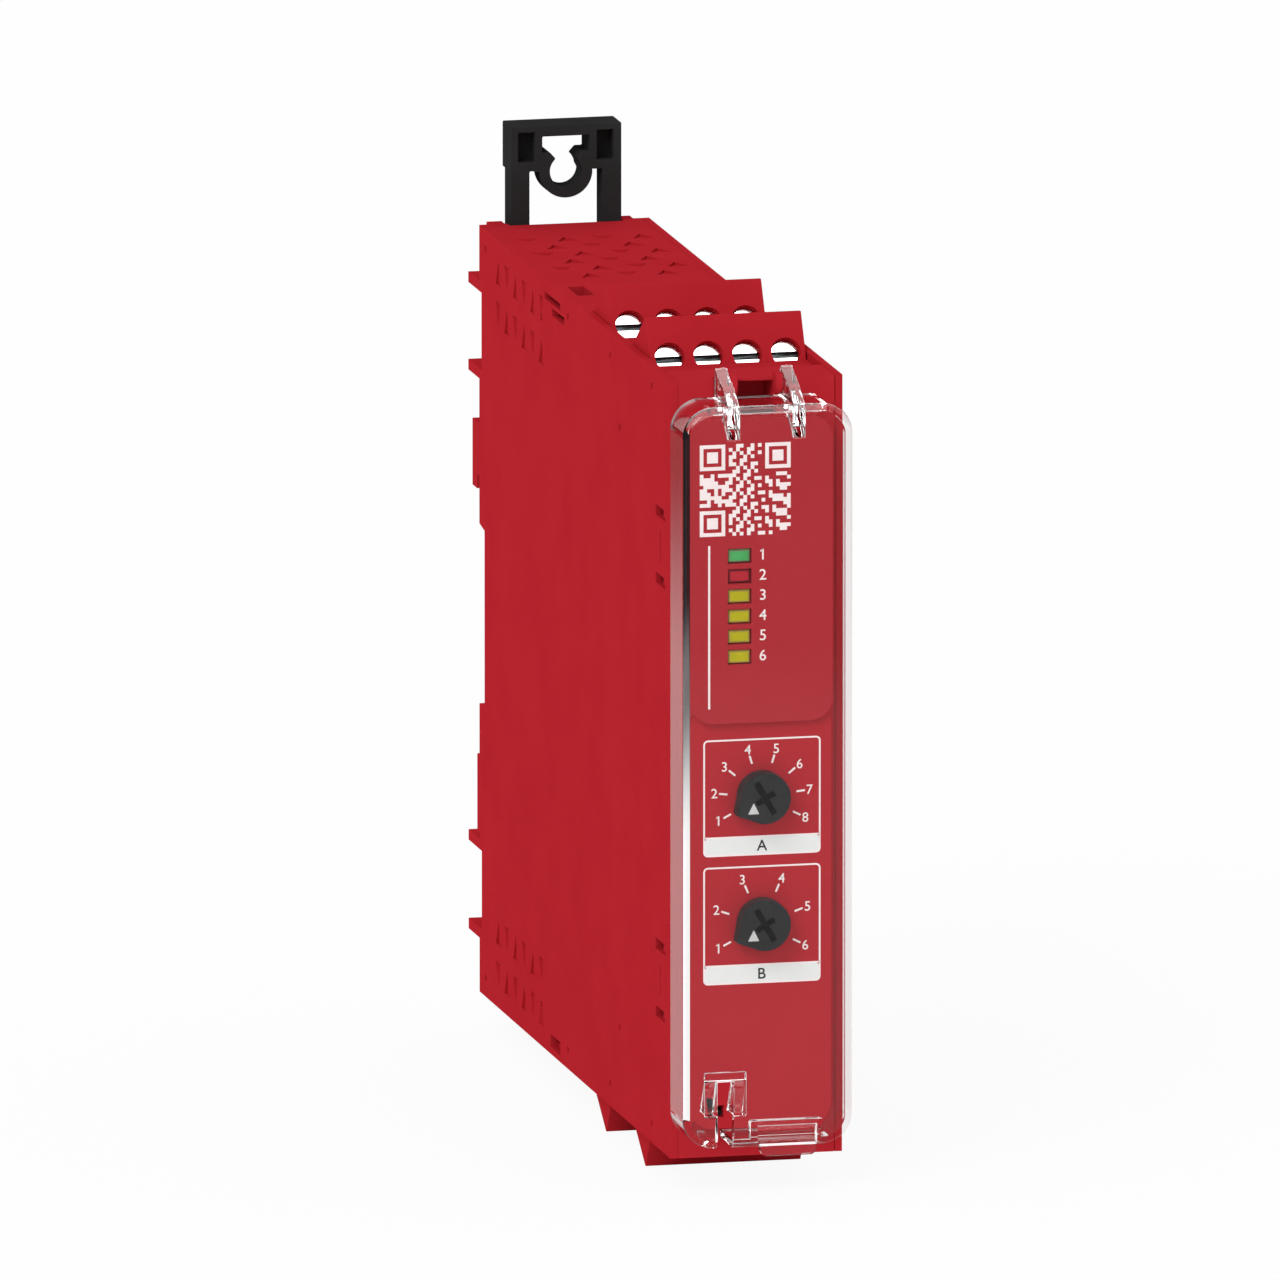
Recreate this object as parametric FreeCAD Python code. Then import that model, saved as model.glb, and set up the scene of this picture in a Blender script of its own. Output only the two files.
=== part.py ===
import FreeCAD, Part
import os
from math import cos, radians, sin, sqrt

# Safety relay for a 35 mm rail, 22.5 mm wide, with a hinged clear cover.
# Frame: X across the housing, +X right as seen from the front; -Y to the front; +Z up.
# Origin: on the plane where the rail's flanges seat, at the rail's centre line.
# All lengths are millimetres. Depths are measured from the rail plane to the front.

V = FreeCAD.Vector

# ---- driving dimensions ----------------------------------------------------------------
width = 22.5                 # one module width
height = 101.0
depth = 110.0                # rail plane to the housing's front face
side_wall = 1.0
top_wall = 1.5
slip = 0.1                   # gap between fixed pieces that slip together
snug = 0.03                  # gap where a seam should hardly show
free = 0.3                   # gap between pieces that move past each other

# rail interface
rail_height = 35.0
rail_flange = 1.3            # slot for the rail's 1 mm flange
rail_recess = 3.0            # the back steps in behind the rail's channel
recess_top = 10.8
recess_bottom = -12.0
recess_slope = 0.45
hook_top = 24.4
hook_lip = 15.6
hook_reach = 4.0             # hook stands this far behind the rail plane
pad_reach = 1.3              # lower side pads beside the latch
pad_top = -19.3
pad_bottom = -29.5
back_wall = 1.4

# stand-off fins on the back
fin_reach = 6.4
fin_height = 1.4
fin_levels = (42.5, 31.0, -31.0, -42.7)
fin_relief = 1.3             # the back steps in between two fins

# sliders on the back
slider_half = 7.36
slider_arm = 2.56
slider_front = -1.1          # Y of the sliders' front face
arm_thickness = 3.4
head_thickness = 4.7
head_height = 6.0
head_bottom = 57.4           # upper slider, drawn out
arm_bottom = 39.0
lug_travel = 12.0
lug_bore = 2.13
lug_outer = 3.5
lug_neck = 1.35
lug_drop = 0.1               # bore centre under the head's lower edge
window_half = 3.1
window_low = 2.4             # window edges above the head's lower edge
window_high = 4.5
pocket_inner = 4.1
pocket_floor = 1.2
pocket_width = 2.2
pocket_height = 3.9
pocket_depth = 2.4
latch_foot = -50.0           # lowest point of the latch when it is in
latch_top = -17.8
latch_bar = 4.4
nose_rise = 1.5              # nose stands this far over the rail's edge
nose_flat = 0.6
guide_width = 2.0
guide_top = 50.2
guide_low = 26.0
guide_lip = 1.4
guide_lip_top = 44.0
spring_radius = 1.5
spring_wire = 0.45
spring_turns = 6.5
spring_boss = 1.5
boss_half = 1.9

# terminal blocks
pole_pitch = 5.08
pole_count = 4
block_depth = 11.0
block_sink = 14.5            # the blocks reach this far down into the housing
tip_rise = 4.75              # a block's tip stands this far over the housing's top
tip_flat = 0.6
tip_setback = 18.6           # front row's tip behind the housing's front face
row_pitch = 22.5             # from the front row to the rear row
plate_tilt = 28.5            # degrees from upright
ledge_drop = 0.95            # decks under the housing's top, before and between the rows
valley_drop = 1.5
shoulder_drop = 0.2
screw_down = 5.35            # screw centre from the tip, along the plate
screw_hole = 1.94
screw_head = 1.82
head_depth = 1.2             # screw head under the plate's face
head_length = 1.3
screw_shank = 1.15
screw_length = 4.6
slot_width = 0.85
slot_depth = 0.7
chamber_start = 2.6
chamber_length = 6.2
chamber_width = 4.0
chamber_height = 4.6
cage_width = 3.6
cage_height = 4.0
cage_length = 5.4
cage_wall = 0.55
cage_front = 1.4
cage_gap = 0.6
wire_entry = 3.2
entry_depth = 4.5
entry_start = 2.0

# front
bezel_depth = 7.0
bezel_wall = 2.0
bezel_rim = 1.1
bezel_bar = 1.8              # top and bottom bars of the bezel
plinth = 2.5
plinth_left = -9.4
plinth_right = 9.2
plinth_margin = 4.2          # the plinth ends this far inside the housing's top and bottom
panel_thickness = 0.8
panel_low = 6.5
panel_margin = 0.3           # label panel under the plinth's end
panel_radius = 3.0
post_radius = 1.4            # posts that hold the front board
post_x = 7.0
post_inset = 10.3            # posts inside the plinth's ends
nub_length = 2.6
nub_rise = 0.6
notch_depth = 5.0            # opening between the two hinge ears
notch_gap = 0.4
notch_roof = 0.3
notch_wall = 0.8             # wall round the opening, inside the bezel
lens_x = -3.0
lens_top = 28.2
lens_pitch = 2.62
lens_width = 3.1             # window round a lens
lens_height = 1.95
lens_fit = 0.17
lens_recess = 0.3            # lens behind the label panel's face
lens_stem = 0.6              # the stem is this much narrower
lens_count = 6
seal_left = -7.2
seal_right = -4.8
seal_low = -44.9
seal_high = -43.3
catch_depth = 3.0
catch_border = 1.2           # the catch is this much wider than its slot
catch_wall = 0.4
catch_notch = 1.8

# clear cover
cover_left = -11.3
cover_right = 10.9
cover_low = -47.9
cover_margin = 2.2           # cover's top edge under the housing's top
cover_depth = 8.1
cover_wall = 1.0
cover_radius = 4.0
cover_edge = 1.3
cover_gap = 0.15
pivot_out = 0.75             # pivot in front of the housing's face
pivot_drop = 0.5             # pivot under the housing's top
arm_left = -5.47
arm_right = 3.08
arm_width = 1.58
arm_reach = 2.22             # largest radius of an arm behind its pivot
pin_radius = 0.75
pin_fit = 0.06
pin_length = 0.5             # how far a pin enters its ear
pin_clear = 0.1
ear_width = 0.8
ear_gap = 0.14
ear_radius = 1.4
arm_outline = ((0.15, -0.7), (-0.35, 0.0), (-0.35, 3.2), (0.2, 3.85), (1.2, 3.2), (4.4, 2.0), (7.2, 0.1),
               (7.2, -0.7))  # in front of the housing's face, and over the cover's top edge
gusset_drop = 3.6
gusset_start = 2.0
gusset_inset = 0.6           # gussets stop this far behind the cover's face
hoop_left = -8.4
hoop_right = -3.05
hoop_top = -38.1
hoop_bar = 1.1
hoop_low = -43.7
hoop_depth = 4.4
hoop_thickness = 2.0
hoop_slope = 1.2
hoop_inset = 0.3
wire_left = -6.9             # slot for a seal's wire, between the hoop's legs
wire_right = -4.8
pull_left = -1.6
pull_right = 6.1
pull_wall = 0.8
pull_top = -44.6
pull_depth = 2.6             # thickened corner round the finger trough
trough_radius = 1.35
trough_z = -46.4
tab_left = -1.25
tab_thickness = 1.0
tab_drop = 1.2               # tab under the cover's lower edge
tab_radius = 0.9

# selector knobs and their switches
knob_radius = 3.3
knob_height = 2.3
knob_gap = 0.2
knob_beak = 4.3
beak_spread = 38.0           # degrees from the beak's tip to where its sides leave the disc
knob_angle = 210.0           # beak points to position 1
slot_half = 2.4              # long slot across the beak, and a short one along it
slot_half_short = 1.35
knob_slot_width = 0.8
knob_slot_depth = 1.0
shaft_radius = 2.1
shaft_fit = 0.05
shaft_engage = 2.6
start_z = -3.1
function_z = -19.6
switch_size = 9.0

# boards and what stands on them
board = 1.6
front_board_y = 6.6          # front face of the front board, behind the housing's face
front_board_half = 9.0
front_board_margin = 4.5     # front board's ends inside the housing's top and bottom
switch_height = 4.2
led_width = 1.6
led_length = 0.8
led_height = 0.6
main_board_x = -8.5
main_board_rear = -6.0
board_clear = 0.5            # gap between a board's edge and the terminal blocks
logic_board_x = 6.9
logic_setback = 12.0         # logic board's front edge behind the housing's front face
logic_length = 58.0
logic_clear = 2.0
peg_radius = 2.0
peg_inset = 4.0              # peg centres inside the logic board's front and rear edges
peg_level = 30.0
main_peg_front = 95.0
main_peg_rear = 12.0
relay_length = 29.0
relay_width = 12.6
relay_height = 11.0
relay_front = 60.0
relay_pitch = 16.3
case_edge = 0.6
core_size = 18.0
core_height = 12.0
core_rear = 11.0
core_leg = 3.5
can_radius = 4.0
can_height = 10.5
small_can_radius = 3.15
small_can_height = 8.0
can_depth = 18.0
can_level = 20.0
chip_size = 10.0
chip_height = 1.0
chip_depth = 80.0
chip_level = 18.0
connector_inset = 8.0        # connector behind the logic board's front edge
connector_thickness = 2.5
connector_length = 20.0
header_height = 2.5
header_depth = 6.0
header_length = 16.0
header_inset = 7.5           # header's end under the main board's end

# vents and marks on the side walls
vent_width = 3.0
vent_height = 3.3
vent_pitch = 5.0
vent_first = 11.0            # first vent's distance from the rail plane
vent_columns = 6
vent_rows = (46.2, 40.6)
vent_depth = 0.35            # the vents are closed: shallow marks in the walls
vent_inset = 1.0             # the roof's vents start this much further forward
dimple_width = 1.2
dimple_height = 0.8
dimple_depth = 0.6
dimples = ((3.5, 2.5), (51.3, 2.5), (75.5, 3.0), (99.3, 2.5), (81.0, 11.3), (36.0, 5.5))
                             # distances from the rail plane, and under the housing's top
seam_windows = ((46.9, 37.8, 47.9, 48.8),     # windows in the side walls, at the roof's seam:
                (49.2, 42.0, 46.4, 47.4),     # front, rear, bottom, top
                (46.9, 41.2, -49.6, -47.9))
roof_slot_front = 50.4       # slots through the roof
roof_slot_rear = 44.2
roof_slot_in = 7.5
roof_slot_out = 9.7
catch_window = 1.4
catch_low = 3.0
catch_high = 8.5
catch_levels = (32.4, 23.6, -24.0, -32.8)
groove_width = 0.35          # thin groove between two catch windows
groove_inset = 2.2

# ---- worked-out values -----------------------------------------------------------------
half_w = width / 2
half_h = height / 2
inner_w = half_w - side_wall
front_y = -depth
tip_height = half_h + tip_rise
block_base = half_h - block_sink
ledge = half_h - ledge_drop
valley = half_h - valley_drop
shoulder = half_h - shoulder_drop
front_tip = depth - tip_setback
rear_tip = front_tip - row_pitch
front_board_height = half_h - front_board_margin
plinth_half = half_h - plinth_margin
panel_high = plinth_half - panel_margin
post_z = plinth_half - post_inset
cover_high = half_h - cover_margin
pivot_z = half_h - pivot_drop
main_board_half = block_base - board_clear
logic_half = block_base - logic_clear
logic_front = depth - logic_setback
logic_rear = logic_front - logic_length
rail_edge = rail_height / 2
slider_back = slider_front + head_thickness
channel_y = slider_front - free
guide_in = slider_half + ear_gap
guide_out = guide_in + guide_width
latch_shift = head_bottom + head_height + latch_foot
plinth_y = front_y - plinth
panel_y = plinth_y - panel_thickness
board_y = front_y + front_board_y
pivot_y = front_y - pivot_out
tilt = radians(plate_tilt)
main_face = main_board_x + board


# ---- small helpers ---------------------------------------------------------------------
def box(x0, x1, y0, y1, z0, z1):
    return Part.makeBox(x1 - x0, y1 - y0, z1 - z0, V(x0, y0, z0))


def prism_x(outline, x0, x1):
    """A solid with a (y, z) outline, from x0 to x1."""
    points = [V(x0, y, z) for y, z in outline]
    return Part.Face(Part.makePolygon(points + points[:1])).extrude(V(x1 - x0, 0, 0))


def prism_y(outline, y0, y1):
    """A solid with an (x, z) outline, from y0 to y1."""
    points = [V(x, y0, z) for x, z in outline]
    return Part.Face(Part.makePolygon(points + points[:1])).extrude(V(0, y1 - y0, 0))


def rod_x(radius, x0, x1, y, z):
    return Part.makeCylinder(radius, x1 - x0, V(x0, y, z), V(1, 0, 0))


def rod_y(radius, y0, y1, x, z):
    return Part.makeCylinder(radius, y1 - y0, V(x, y0, z), V(0, 1, 0))


def along_y(shape):
    """The edges of a shape that run along Y."""
    return [e for e in shape.Edges if abs(e.tangentAt(e.FirstParameter).y) > 0.999]


def rounded(x0, x1, z0, z1, radius, y0, y1):
    """A rounded rectangle, seen from the front, between two depths."""
    block = box(x0, x1, y0, y1, z0, z1)
    return block.makeFillet(radius, along_y(block))


def union(shapes):
    first = shapes[0]
    return first.fuse(shapes[1:]).removeSplitter() if len(shapes) > 1 else first


def cut(shape, tools):
    return shape.cut(tools).removeSplitter()


def mirrored_z(shape):
    return shape.mirror(V(0, 0, 0), V(0, 0, 1))


def solids_of(shape):
    return Part.makeCompound(shape.Solids)


# ---- housing ---------------------------------------------------------------------------
def rail_space(x0, x1):
    """What is cut away behind the rail's channel, with sloped ends."""
    low = recess_bottom - recess_slope
    high = recess_top + recess_slope
    outline = [(-rail_recess, recess_bottom), (0, low), (1, low),
               (1, high), (0, high), (-rail_recess, recess_top)]
    return prism_x(outline, x0, x1)


def rail_hook(x0, x1):
    """Fixed hook over the rail's upper flange."""
    hook = box(x0, x1, -back_wall, hook_reach, hook_lip, hook_top)
    return hook.cut(box(x0, x1, 0, rail_flange, hook_lip - 1, rail_edge))


def side_outline(x0, x1):
    """The housing's whole side view, with hook, pads and fins, as a slab."""
    slab = box(x0, x1, front_y, 0, -half_h, half_h)
    reliefs = [box(x0, x1, -fin_relief, 1, fin_levels[1], fin_levels[0])]
    reliefs.append(box(x0, x1, -fin_relief, 1, fin_levels[3], fin_levels[2]))
    slab = slab.cut([rail_space(x0, x1)] + reliefs)
    hook = rail_hook(x0, x1)
    pad = box(x0, x1, -back_wall, pad_reach, pad_bottom, pad_top)
    fins = [box(x0, x1, -fin_relief - 1, fin_reach, z - fin_height / 2, z + fin_height / 2)
            for z in fin_levels]
    return union([slab, hook, pad] + fins)


def vent(y, z, point_up, x0, x1):
    tip = vent_height / 2 if point_up else -vent_height / 2
    half = vent_width / 2
    return prism_x([(y - half, z - tip), (y + half, z - tip), (y, z + tip)], x0, x1)


def side_vents(x0, x1):
    vents = []
    for row, level in enumerate(vent_rows):
        for i in range(vent_columns):
            y = -vent_first - vent_pitch * i
            point_up = (i + row) % 2 == 0
            vents.append(vent(y, level, point_up, x0, x1))
            vents.append(vent(y, -level, not point_up, x0, x1))
    return vents


def top_vents(z0, z1):
    """Staggered rows of triangular vents through the top or the bottom wall."""
    vents = []
    half = vent_width / 2
    for row in range(vent_columns):
        y = -vent_first - vent_inset - vent_pitch * row
        for i in range(pole_count - row % 2):
            x = (i - (pole_count - 1 - row % 2) / 2) * vent_pitch
            tip = half if (i + row) % 2 else -half
            corners = [V(x - half, y - tip, z0), V(x + half, y - tip, z0), V(x, y + tip, z0)]
            vents.append(Part.Face(Part.makePolygon(corners + corners[:1])).extrude(V(0, 0, z1 - z0)))
    return vents


def side_marks(x0, x1):
    """Windows through a side wall, for the bezel's catches and at the seam."""
    half = catch_window / 2
    marks = [box(x0, x1, front_y + catch_low, front_y + catch_high, z - half, z + half)
             for z in catch_levels]
    for front, rear, low, high in seam_windows:
        marks.append(box(x0, x1, -front, -rear, low, high))
    return marks


def side_dimples(outer):
    """Blind dimples and grooves in the outer face of a side wall."""
    x0, x1 = sorted((outer, outer * (1 - dimple_depth / half_w)))
    marks = []
    for distance, drop in dimples:
        for level in (half_h - drop, drop - half_h):
            marks.append(box(x0, x1, -distance - dimple_width / 2, -distance + dimple_width / 2,
                             level - dimple_height / 2, level + dimple_height / 2))
    groove_y = front_y + (catch_low + catch_high) / 2
    for high, low in (catch_levels[:2], catch_levels[2:]):
        marks.append(box(x0, x1, groove_y - groove_width / 2, groove_y + groove_width / 2,
                         low + groove_inset, high - groove_inset))
    return marks


def block_pocket(tip):
    """Y limits of the opening for a terminal block whose tip is at this depth."""
    front, rear = block_span(tip)
    return front - slip, rear + slip


def block_span(tip):
    foot = (tip_height - ledge) / cos(tilt) * sin(tilt)
    front = -tip - foot
    return front, front + block_depth


def housing_shell():
    left = -half_w
    right = inner_w
    wall = side_outline(left, -inner_w)
    core = box(-inner_w, right, front_y, 0, -half_h, half_h)
    hook = rail_hook(-inner_w, right)
    rear = -rail_recess - back_wall
    room = box(-inner_w, right, front_y, rear, -half_h + top_wall, half_h - top_wall)
    front_room = box(-inner_w, right, front_y, front_y + bezel_depth + slip, -half_h, half_h)
    core = core.cut([rail_space(-inner_w, right), room, front_room])
    steps = []
    for sign in (1, -1):
        rear_end = block_pocket(rear_tip)[1]
        valley_box = (block_pocket(front_tip)[1], block_pocket(rear_tip)[0])
        steps.append(level_box(front_y, rear_end, ledge, half_h, sign))
        steps.append(level_box(valley_box[0], valley_box[1], valley, half_h, sign))
        for tip in (front_tip, rear_tip):
            pocket = block_pocket(tip)
            steps.append(level_box(pocket[0], pocket[1], block_base, half_h, sign))
    core = core.cut(steps)
    decks = []
    for sign in (1, -1):
        front_deck = (front_y + bezel_depth + slip, block_pocket(front_tip)[0])
        decks.append(level_box(front_deck[0], front_deck[1], ledge - top_wall, ledge, sign))
        decks.append(level_box(block_pocket(front_tip)[1], block_pocket(rear_tip)[0],
                               valley - top_wall, valley, sign))
    channels = [box(-guide_in, guide_in, channel_y, 1, guide_low - 1, half_h),
                box(-guide_in, guide_in, channel_y, 1, -half_h, latch_top)]
    core = core.cut(channels)
    guides = []
    for sign in (1, -1):
        for side in (1, -1):
            x0, x1 = sorted((side * guide_in, side * guide_out))
            lip0, lip1 = sorted((side * (guide_in - guide_lip), side * guide_in))
            low, high = sorted((sign * guide_low, sign * guide_top))
            lip_low, lip_high = sorted((sign * guide_low, sign * guide_lip_top))
            back = slider_front + arm_thickness + free
            guides.append(box(x0, x1, -back_wall, slider_back - slip, low, high))
            guides.append(box(lip0, lip1, back, slider_back - slip, lip_low, lip_high))
    fins = []
    for z in fin_levels:
        for side in (1, -1):
            x0, x1 = sorted((side * guide_out, side * inner_w))
            fins.append(box(x0, x1, -back_wall, fin_reach, z - fin_height / 2, z + fin_height / 2))
    pads = [box(*sorted((side * guide_in, side * inner_w)), -back_wall, pad_reach, pad_bottom, pad_top)
            for side in (1, -1)]
    boss_top = -(head_bottom - lug_drop - latch_shift - lug_outer) + free + spring_boss
    boss = box(-boss_half, boss_half, channel_y - 1, slider_front + arm_thickness,
               boss_top - spring_boss, boss_top)
    pegs = [rod_x(peg_radius, -inner_w, main_board_x - slip, -distance, z)
            for distance in (main_peg_front, main_peg_rear) for z in (-peg_level, peg_level)]
    shell = union([wall, core, hook] + decks + guides + fins + pads + [boss] + pegs)
    shell = shell.cut(side_vents(left - 1, left + vent_depth) + side_marks(left - 1, -inner_w + 0.01))
    shell = shell.cut(side_dimples(left))
    vent_floor = half_h - vent_depth
    shell = shell.cut(top_vents(vent_floor, half_h + 1) + top_vents(-half_h - 1, -vent_floor))
    roof_low = half_h - top_wall - 1
    spans = ((-roof_slot_out, -roof_slot_in), (roof_slot_in, roof_slot_out))
    slots = [level_box(-roof_slot_front, -roof_slot_rear, roof_low, half_h + 1, sign, x0, x1)
             for sign in (1, -1) for x0, x1 in spans]
    return cut(shell, slots)


def level_box(y0, y1, z0, z1, sign, x0=-inner_w, x1=inner_w):
    """A box above the middle plane, or its mirror below it."""
    low, high = sorted((sign * z0, sign * z1))
    return box(x0, x1, y0, y1, low, high)


def side_lid():
    lid = side_outline(inner_w + 0.05, half_w)
    pegs = [rod_x(peg_radius, logic_board_x + board + slip, inner_w + 0.06, y, z)
            for y in (-logic_front + peg_inset, -logic_rear - peg_inset) for z in (-peg_level, peg_level)]
    lid = union([lid] + pegs)
    return cut(lid, side_vents(half_w - vent_depth, half_w + 1) + side_marks(inner_w, half_w + 1)
               + side_dimples(half_w))


# ---- terminal blocks -------------------------------------------------------------------
def pole_centres():
    return [(i - (pole_count - 1) / 2) * pole_pitch for i in range(pole_count)]


def screw_frame(tip):
    """Screw centre on the plate and the inward screw direction, as (y, z) pairs."""
    start = (-tip - screw_down * sin(tilt), tip_height - screw_down * cos(tilt))
    inward = (cos(tilt), -sin(tilt))
    return start, inward


def slanted_box(tip, x, wide, start, length, high):
    """A box along the screw axis of one pole, from a depth under the plate's face."""
    (y, z), (dy, dz) = screw_frame(tip)
    ends = []
    for depth_in, side in ((start, -1), (start + length, -1), (start + length, 1), (start, 1)):
        across = side * high / 2
        ends.append((y + dy * depth_in - dz * across, z + dz * depth_in + dy * across))
    return prism_x(ends, x - wide / 2, x + wide / 2)


def slanted_rod(tip, x, radius, start, length):
    (y, z), (dy, dz) = screw_frame(tip)
    return Part.makeCylinder(radius, length, V(x, y + dy * start, z + dz * start), V(0, dy, dz))


def terminal_block(tip):
    front, rear = block_span(tip)
    outline = [(front, ledge), (front, block_base), (rear, block_base), (rear, shoulder),
               (-tip + tip_flat, tip_height), (-tip, tip_height)]
    body = prism_x(outline, -inner_w + slip, inner_w - slip)
    entry_y = (rear - tip + tip_flat) / 2
    entry_z = (shoulder + tip_height) / 2
    tools = []
    for x in pole_centres():
        tools.append(slanted_rod(tip, x, screw_hole, -1, chamber_start + 1.1))
        tools.append(slanted_box(tip, x, chamber_width, chamber_start, chamber_length, chamber_height))
        half = wire_entry / 2
        entry = box(x - half, x + half, -half, half, -entry_depth, entry_start)
        entry.rotate(V(0, 0, 0), V(1, 0, 0), -plate_tilt)
        entry.translate(V(0, entry_y, entry_z))
        tools.append(entry)
    return cut(body, tools)


def clamp_cages(tip):
    cages = []
    start = chamber_start + cage_gap
    for x in pole_centres():
        cage = slanted_box(tip, x, cage_width, start, cage_length, cage_height)
        window = slanted_box(tip, x, cage_width - 2 * cage_wall, start + cage_front,
                             cage_length - cage_front - cage_wall, cage_height + 2)
        thread = slanted_rod(tip, x, screw_shank + shaft_fit, start - 1, cage_front + 1.1)
        cages.append(cut(cage, [window, thread]))
    return Part.makeCompound(cages)


def terminal_screws(tip):
    screws = []
    for x in pole_centres():
        head = slanted_rod(tip, x, screw_head, head_depth, head_length)
        shank = slanted_rod(tip, x, screw_shank, head_depth + head_length - 0.01, screw_length)
        slot = slanted_box(tip, x, 2 * screw_head + 1, head_depth - 0.1, slot_depth + 0.1, slot_width)
        screws.append(cut(union([head, shank]), [slot]))
    return Part.makeCompound(screws)


# ---- front -----------------------------------------------------------------------------
def lens_levels():
    return [lens_top - lens_pitch * i for i in range(lens_count)]


def lens_openings(y0, y1, grow=0.0):
    half_x = lens_width / 2 + grow
    half_z = lens_height / 2 + grow
    return [box(lens_x - half_x, lens_x + half_x, y0, y1, z - half_z, z + half_z) for z in lens_levels()]


def arm_spans():
    return [(arm_left, arm_left + arm_width), (arm_right, arm_right + arm_width)]


def ear_spans():
    left_in = arm_left + arm_width + ear_gap
    right_in = arm_right - ear_gap
    return [(left_in, left_in + ear_width), (right_in - ear_width, right_in)]


def front_bezel():
    half_x = inner_w - snug
    rear = front_y + bezel_depth
    body = box(-half_x, half_x, front_y, rear, -half_h, half_h)
    body = body.cut(box(-half_x + bezel_rim, half_x - bezel_rim, front_y + bezel_wall, rear,
                        -half_h + bezel_bar, half_h - bezel_bar))
    raised = rounded(plinth_left, plinth_right, -plinth_half, plinth_half, panel_radius,
                     plinth_y, front_y + 0.5)
    posts = [rod_y(post_radius, front_y + bezel_wall - 0.1, board_y - slip, x, z)
             for x in (-post_x, post_x) for z in (-post_z, post_z)]
    nubs = []
    nub_front = front_y + catch_low + slip
    nub_half = catch_window / 2 - slip
    for z in catch_levels:
        for side in (1, -1):
            x0, x1 = sorted((side * (half_x - 0.5), side * (inner_w + nub_rise)))
            nubs.append(box(x0, x1, nub_front, nub_front + nub_length, z - nub_half, z + nub_half))
    ears = []
    for x0, x1 in ear_spans():
        ears.append(rod_x(ear_radius, x0, x1, pivot_y, pivot_z))
        ears.append(box(x0, x1, pivot_y, front_y + 0.5, pivot_z - ear_radius, half_h))
    ear_left, ear_right = ear_spans()
    pocket = box(ear_left[1] - notch_wall, ear_right[0] + notch_wall, front_y + bezel_wall - 0.1,
                 front_y + notch_depth + notch_wall, plinth_half + notch_gap - notch_wall, half_h - 0.1)
    body = union([body, raised, pocket] + posts + nubs + ears)
    tools = [rod_x(arm_reach + free, x0 - ear_gap, x1 + ear_gap, pivot_y, pivot_z)
             for x0, x1 in arm_spans()]
    hole = pin_length + pin_clear
    for x0, x1 in ((ear_left[0] - 1, ear_left[0] + hole), (ear_right[1] - hole, ear_right[1] + 1)):
        tools.append(rod_x(pin_radius + pin_fit, x0, x1, pivot_y, pivot_z))
    tools.append(box(ear_left[1], ear_right[0], front_y - 1, front_y + notch_depth,
                     plinth_half + notch_gap, half_h - notch_roof))
    tools += lens_openings(plinth_y - 1, front_y + bezel_wall + 1)
    tools.append(box(seal_left, seal_right, plinth_y - 1, front_y + bezel_wall + 1, seal_low, seal_high))
    tools += [rod_y(shaft_radius + 2 * free, plinth_y - 1, front_y + bezel_wall + 1, 0, z)
              for z in (start_z, function_z)]
    return cut(body, tools)


def label_panel():
    plate = rounded(plinth_left, plinth_right, panel_low, panel_high, panel_radius, panel_y, plinth_y)
    return cut(plate, lens_openings(panel_y - 1, plinth_y + 1))


def led_lens(level):
    half_x = lens_width / 2 - lens_fit
    half_z = lens_height / 2 - lens_fit
    face = box(lens_x - half_x, lens_x + half_x, panel_y + lens_recess, front_y,
               level - half_z, level + half_z)
    inset = lens_stem / 2
    stem = box(lens_x - half_x + inset, lens_x + half_x - inset, front_y - 0.1,
               board_y - led_height - slip, level - half_z + inset, level + half_z - inset)
    return union([face, stem])


def cover_catch():
    """Black catch behind the bezel's slot, where the cover is snapped and sealed."""
    start = front_y + bezel_wall + slip
    middle = (seal_low + seal_high) / 2
    body = box(seal_left - catch_border, seal_right + catch_border, start, start + catch_depth,
               seal_low - catch_border, seal_high + catch_border)
    tongue = box(seal_left + slip, seal_right - slip, plinth_y + catch_border, start + 0.1,
                 seal_low + slip, middle)
    notch = box(seal_left + catch_wall, seal_right - catch_wall, start - 1, start + catch_notch,
                middle, seal_high)
    return cut(union([body, tongue]), [notch])


def cover_shell(face, rear):
    """The cover's tray, open to the rear, with a rounded rim round its face."""
    outer = rounded(cover_left, cover_right, cover_low, cover_high, cover_radius, face, rear)
    rim = [e for e in outer.Edges if e.BoundBox.YMax < face + 0.01]
    outer = outer.makeFillet(cover_edge, rim)
    inner = rounded(cover_left + cover_wall, cover_right - cover_wall, cover_low + cover_wall,
                    cover_high - cover_wall, cover_radius - cover_wall, face + cover_wall, rear + 1)
    return outer.cut(inner)


def cover_pull(face):
    """Thickened lower edge round the finger trough, and the tab under it."""
    block = box(pull_left - pull_wall, pull_right + pull_wall, face + 0.6, face + pull_depth,
                cover_low + 0.5, pull_top)
    tab = box(tab_left, pull_right, face + cover_edge - tab_thickness, face + cover_edge,
              cover_low - tab_drop, cover_low + cover_edge)
    corners = [e for e in along_y(tab) if e.BoundBox.ZMax < cover_low]
    return [block, tab.makeFillet(tab_radius, corners)]


def cover_hoop(face):
    """Bar and two legs round the slot that lets a seal's wire through."""
    hoop = [box(hoop_left, hoop_right, face, face + hoop_thickness, hoop_top - hoop_bar, hoop_top)]
    top = hoop_top - 0.1
    side = [(face + hoop_inset, top), (face + hoop_inset, hoop_low), (face + hoop_depth, hoop_low),
            (face + hoop_slope, top)]
    for x0, x1 in ((hoop_left, wire_left), (wire_right, hoop_right)):
        hoop.append(prism_x(side, x0, x1))
    return hoop


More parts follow.
